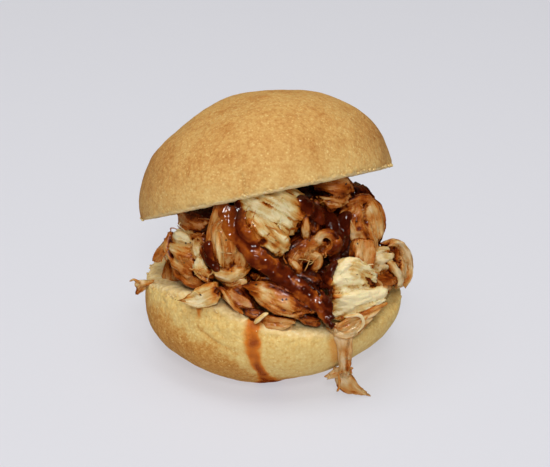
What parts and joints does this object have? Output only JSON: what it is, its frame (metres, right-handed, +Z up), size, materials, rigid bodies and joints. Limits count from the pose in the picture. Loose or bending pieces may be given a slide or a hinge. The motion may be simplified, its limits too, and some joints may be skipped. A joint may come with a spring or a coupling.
{
  "type": "barbecue chicken slider",
  "caption": "Small round bread roll cut in half and piled with pulled chicken in barbecue sauce, its top half leaning back on the heap.",
  "frame": {"origin": "middle of the table plane under the bottom half of the roll, at the height of its flat foot", "axes": "+Z up, +X to the right and +Y away for a viewer who faces the open front of the slider, where the top half is raised"},
  "size_m": [0.0861, 0.0846, 0.0868],
  "materials": {
    "bun_bottom": "matt bread crust, pale at the cut and golden below",
    "bun_top": "matt golden bread crust with fine pale specks",
    "chicken": "moist cooked chicken with glossy red-brown sauce",
    "chicken_torn": "torn chicken fibres stained with sauce"
  },
  "bodies": {
    "root": {"bun_bottom": "bun_bottom", "bun_top": "bun_top", "chicken_heap": "chicken", "chicken_shred": "chicken_torn"}
  },
  "joints": []
}
